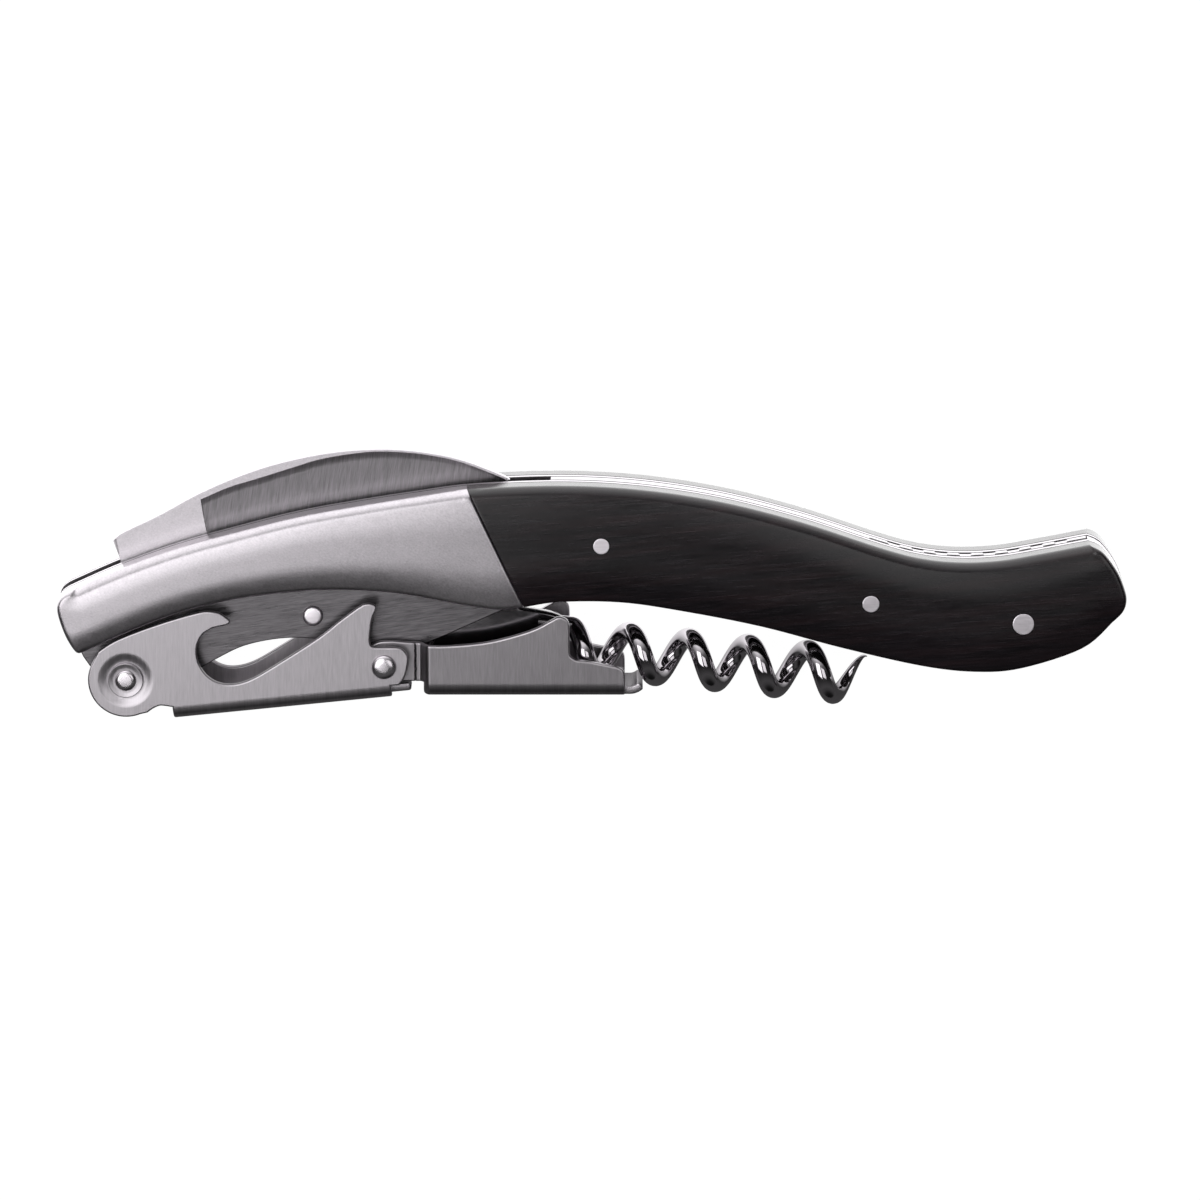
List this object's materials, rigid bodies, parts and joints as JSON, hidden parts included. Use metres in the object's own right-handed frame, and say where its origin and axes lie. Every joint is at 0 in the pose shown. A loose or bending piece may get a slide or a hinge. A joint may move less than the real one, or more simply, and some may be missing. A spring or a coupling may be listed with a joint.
{
  "type": "lever corkscrew",
  "caption": "Folding waiter's corkscrew with a hinged two-stage lever, crown-cap mouth, wire worm and foil blade in a steel and dark wood handle, shown closed.",
  "frame": {"origin": "centre of the closed tool's outline, on the surface it lies on", "axes": "+X along the handle towards its tail, +Y towards the foil blade, +Z through the thickness, upwards as it lies on its side"},
  "size_m": [0.1297, 0.0326, 0.0124],
  "materials": {
    "bolster_steel": "fine bead-brushed satin",
    "liner_steel": "dark, brushed lengthwise, half glossy",
    "lever_steel": "satin with a fine vertical grain and bright edges",
    "blade_steel": "cross-brushed bevel and bead-blasted root",
    "polished_steel": "mirror polished",
    "pin_steel": "fine satin, flush",
    "inner_steel": "plain turned steel",
    "dark_wood": "near-black fine-grained wood, semi-gloss"
  },
  "bodies": {
    "handle": {"liner_upper": "liner_steel", "liner_lower": "liner_steel", "bolster_upper": "bolster_steel", "bolster_lower": "bolster_steel", "scale_upper": "dark_wood", "scale_lower": "dark_wood", "back_spring": "polished_steel", "tail_spacer": "liner_steel", "scale_pin_front": "pin_steel", "scale_pin_middle": "pin_steel", "scale_pin_rear": "pin_steel", "spring_pin": "inner_steel", "blade_pivot_pin": "inner_steel", "worm_pivot_pin": "inner_steel", "stop_rivet": "polished_steel", "stop_spacer": "inner_steel", "lever_bush": "inner_steel", "lever_washer_upper": "inner_steel", "lever_washer_lower": "inner_steel", "pivot_cup_upper": "polished_steel", "pivot_cup_lower": "polished_steel", "lever_pivot_rivet": "polished_steel", "blade_washer_upper": "inner_steel", "blade_washer_lower": "inner_steel"},
    "blade": {"foil_blade": "blade_steel"},
    "worm": {"worm": "polished_steel"},
    "lever_first": {"lever_first_stage": "lever_steel", "knuckle_rivet": "polished_steel", "knuckle_washer_upper": "inner_steel", "knuckle_washer_lower": "inner_steel"},
    "lever_second": {"lever_second_stage": "lever_steel"}
  },
  "joints": [
    {"name": "lever_pivot", "type": "hinge", "parent": "handle", "child": "lever_first", "pos_m": [-0.0568, -0.01134, 0.0062], "axis": [0, 0, -1], "range_deg": [0, 120]},
    {"name": "lever_knuckle", "type": "hinge", "parent": "lever_first", "child": "lever_second", "pos_m": [-0.0254, -0.00966, 0.0062], "axis": [0, 0, -1], "range_deg": [0, 90]},
    {"name": "worm_hinge", "type": "hinge", "parent": "handle", "child": "worm", "pos_m": [-0.0133, -0.00178, 0.0062], "axis": [0, 0, -1], "range_deg": [0, 90]},
    {"name": "blade_hinge", "type": "hinge", "parent": "handle", "child": "blade", "pos_m": [-0.055, -0.00128, 0.0062], "axis": [0, 0, 1], "range_deg": [0, 170]}
  ],
  "couplings": [
    {"joint": "worm_hinge", "follows": "lever_pivot", "ratio": 0.75}
  ]
}
